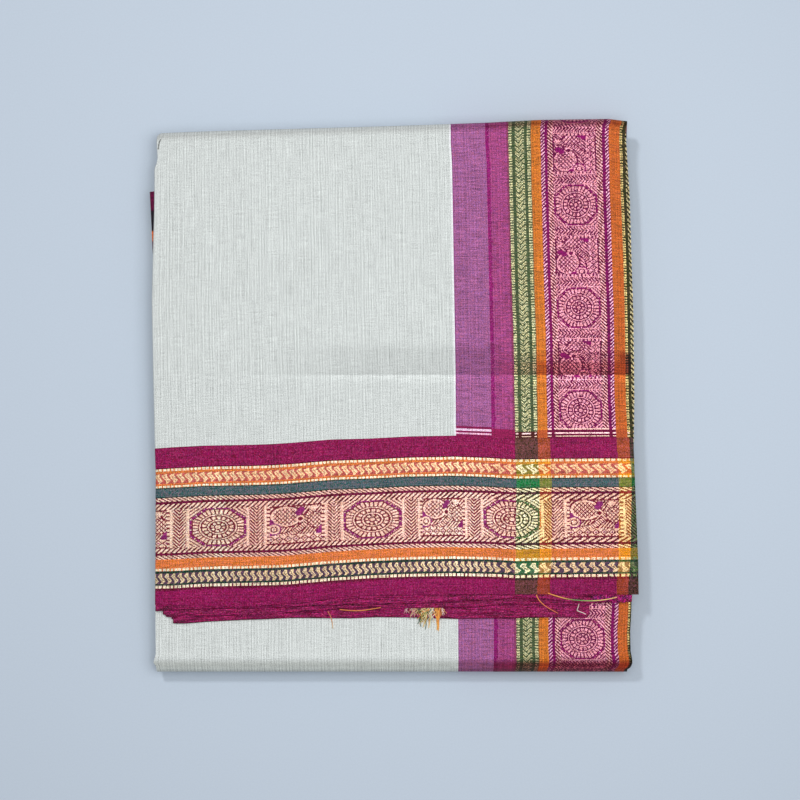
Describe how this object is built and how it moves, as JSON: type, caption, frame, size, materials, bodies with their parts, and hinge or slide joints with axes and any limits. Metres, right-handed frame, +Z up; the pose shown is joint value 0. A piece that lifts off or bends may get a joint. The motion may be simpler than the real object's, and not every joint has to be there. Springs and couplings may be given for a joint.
{
  "type": "folded saree",
  "caption": "Folded cotton-silk saree lying flat, with plain cream body, woven magenta side border and banded end piece on top.",
  "frame": {"origin": "middle of the bundle's outline, on the surface that it lies on", "axes": "+Y towards the rolled top end, +X towards the bordered side, +Z up"},
  "size_m": [0.307, 0.347, 0.0221],
  "materials": {
    "stack_edges": "cream cotton-silk, folded edges",
    "body_cream": "cream cotton-silk, slubbed plain weave",
    "mixed_violet": "violet shot weave of magenta and cream",
    "border_magenta": "magenta, orange and green stripes with gold thread figures",
    "pallu_magenta": "magenta end piece with gold thread bands",
    "pallu_border": "border stripes crossed by the end piece's bands",
    "under_magenta": "cut ends of the magenta under layers",
    "fringe_thread": "loose orange, green and cream threads"
  },
  "bodies": {
    "root": {"under_stack": "stack_edges", "strip_body": "body_cream", "strip_mixed": "mixed_violet", "strip_border": "border_magenta", "left_corner_layer": "under_magenta", "right_selvedge_layer": "border_magenta", "flap_under_layers": "under_magenta", "rolled_corner": "under_magenta", "flap_body": "body_cream", "flap_mixed_strip": "mixed_violet", "flap_border": "border_magenta", "pallu_field": "pallu_magenta", "pallu_border": "pallu_border", "fringe_tuft": "fringe_thread"}
  },
  "joints": []
}
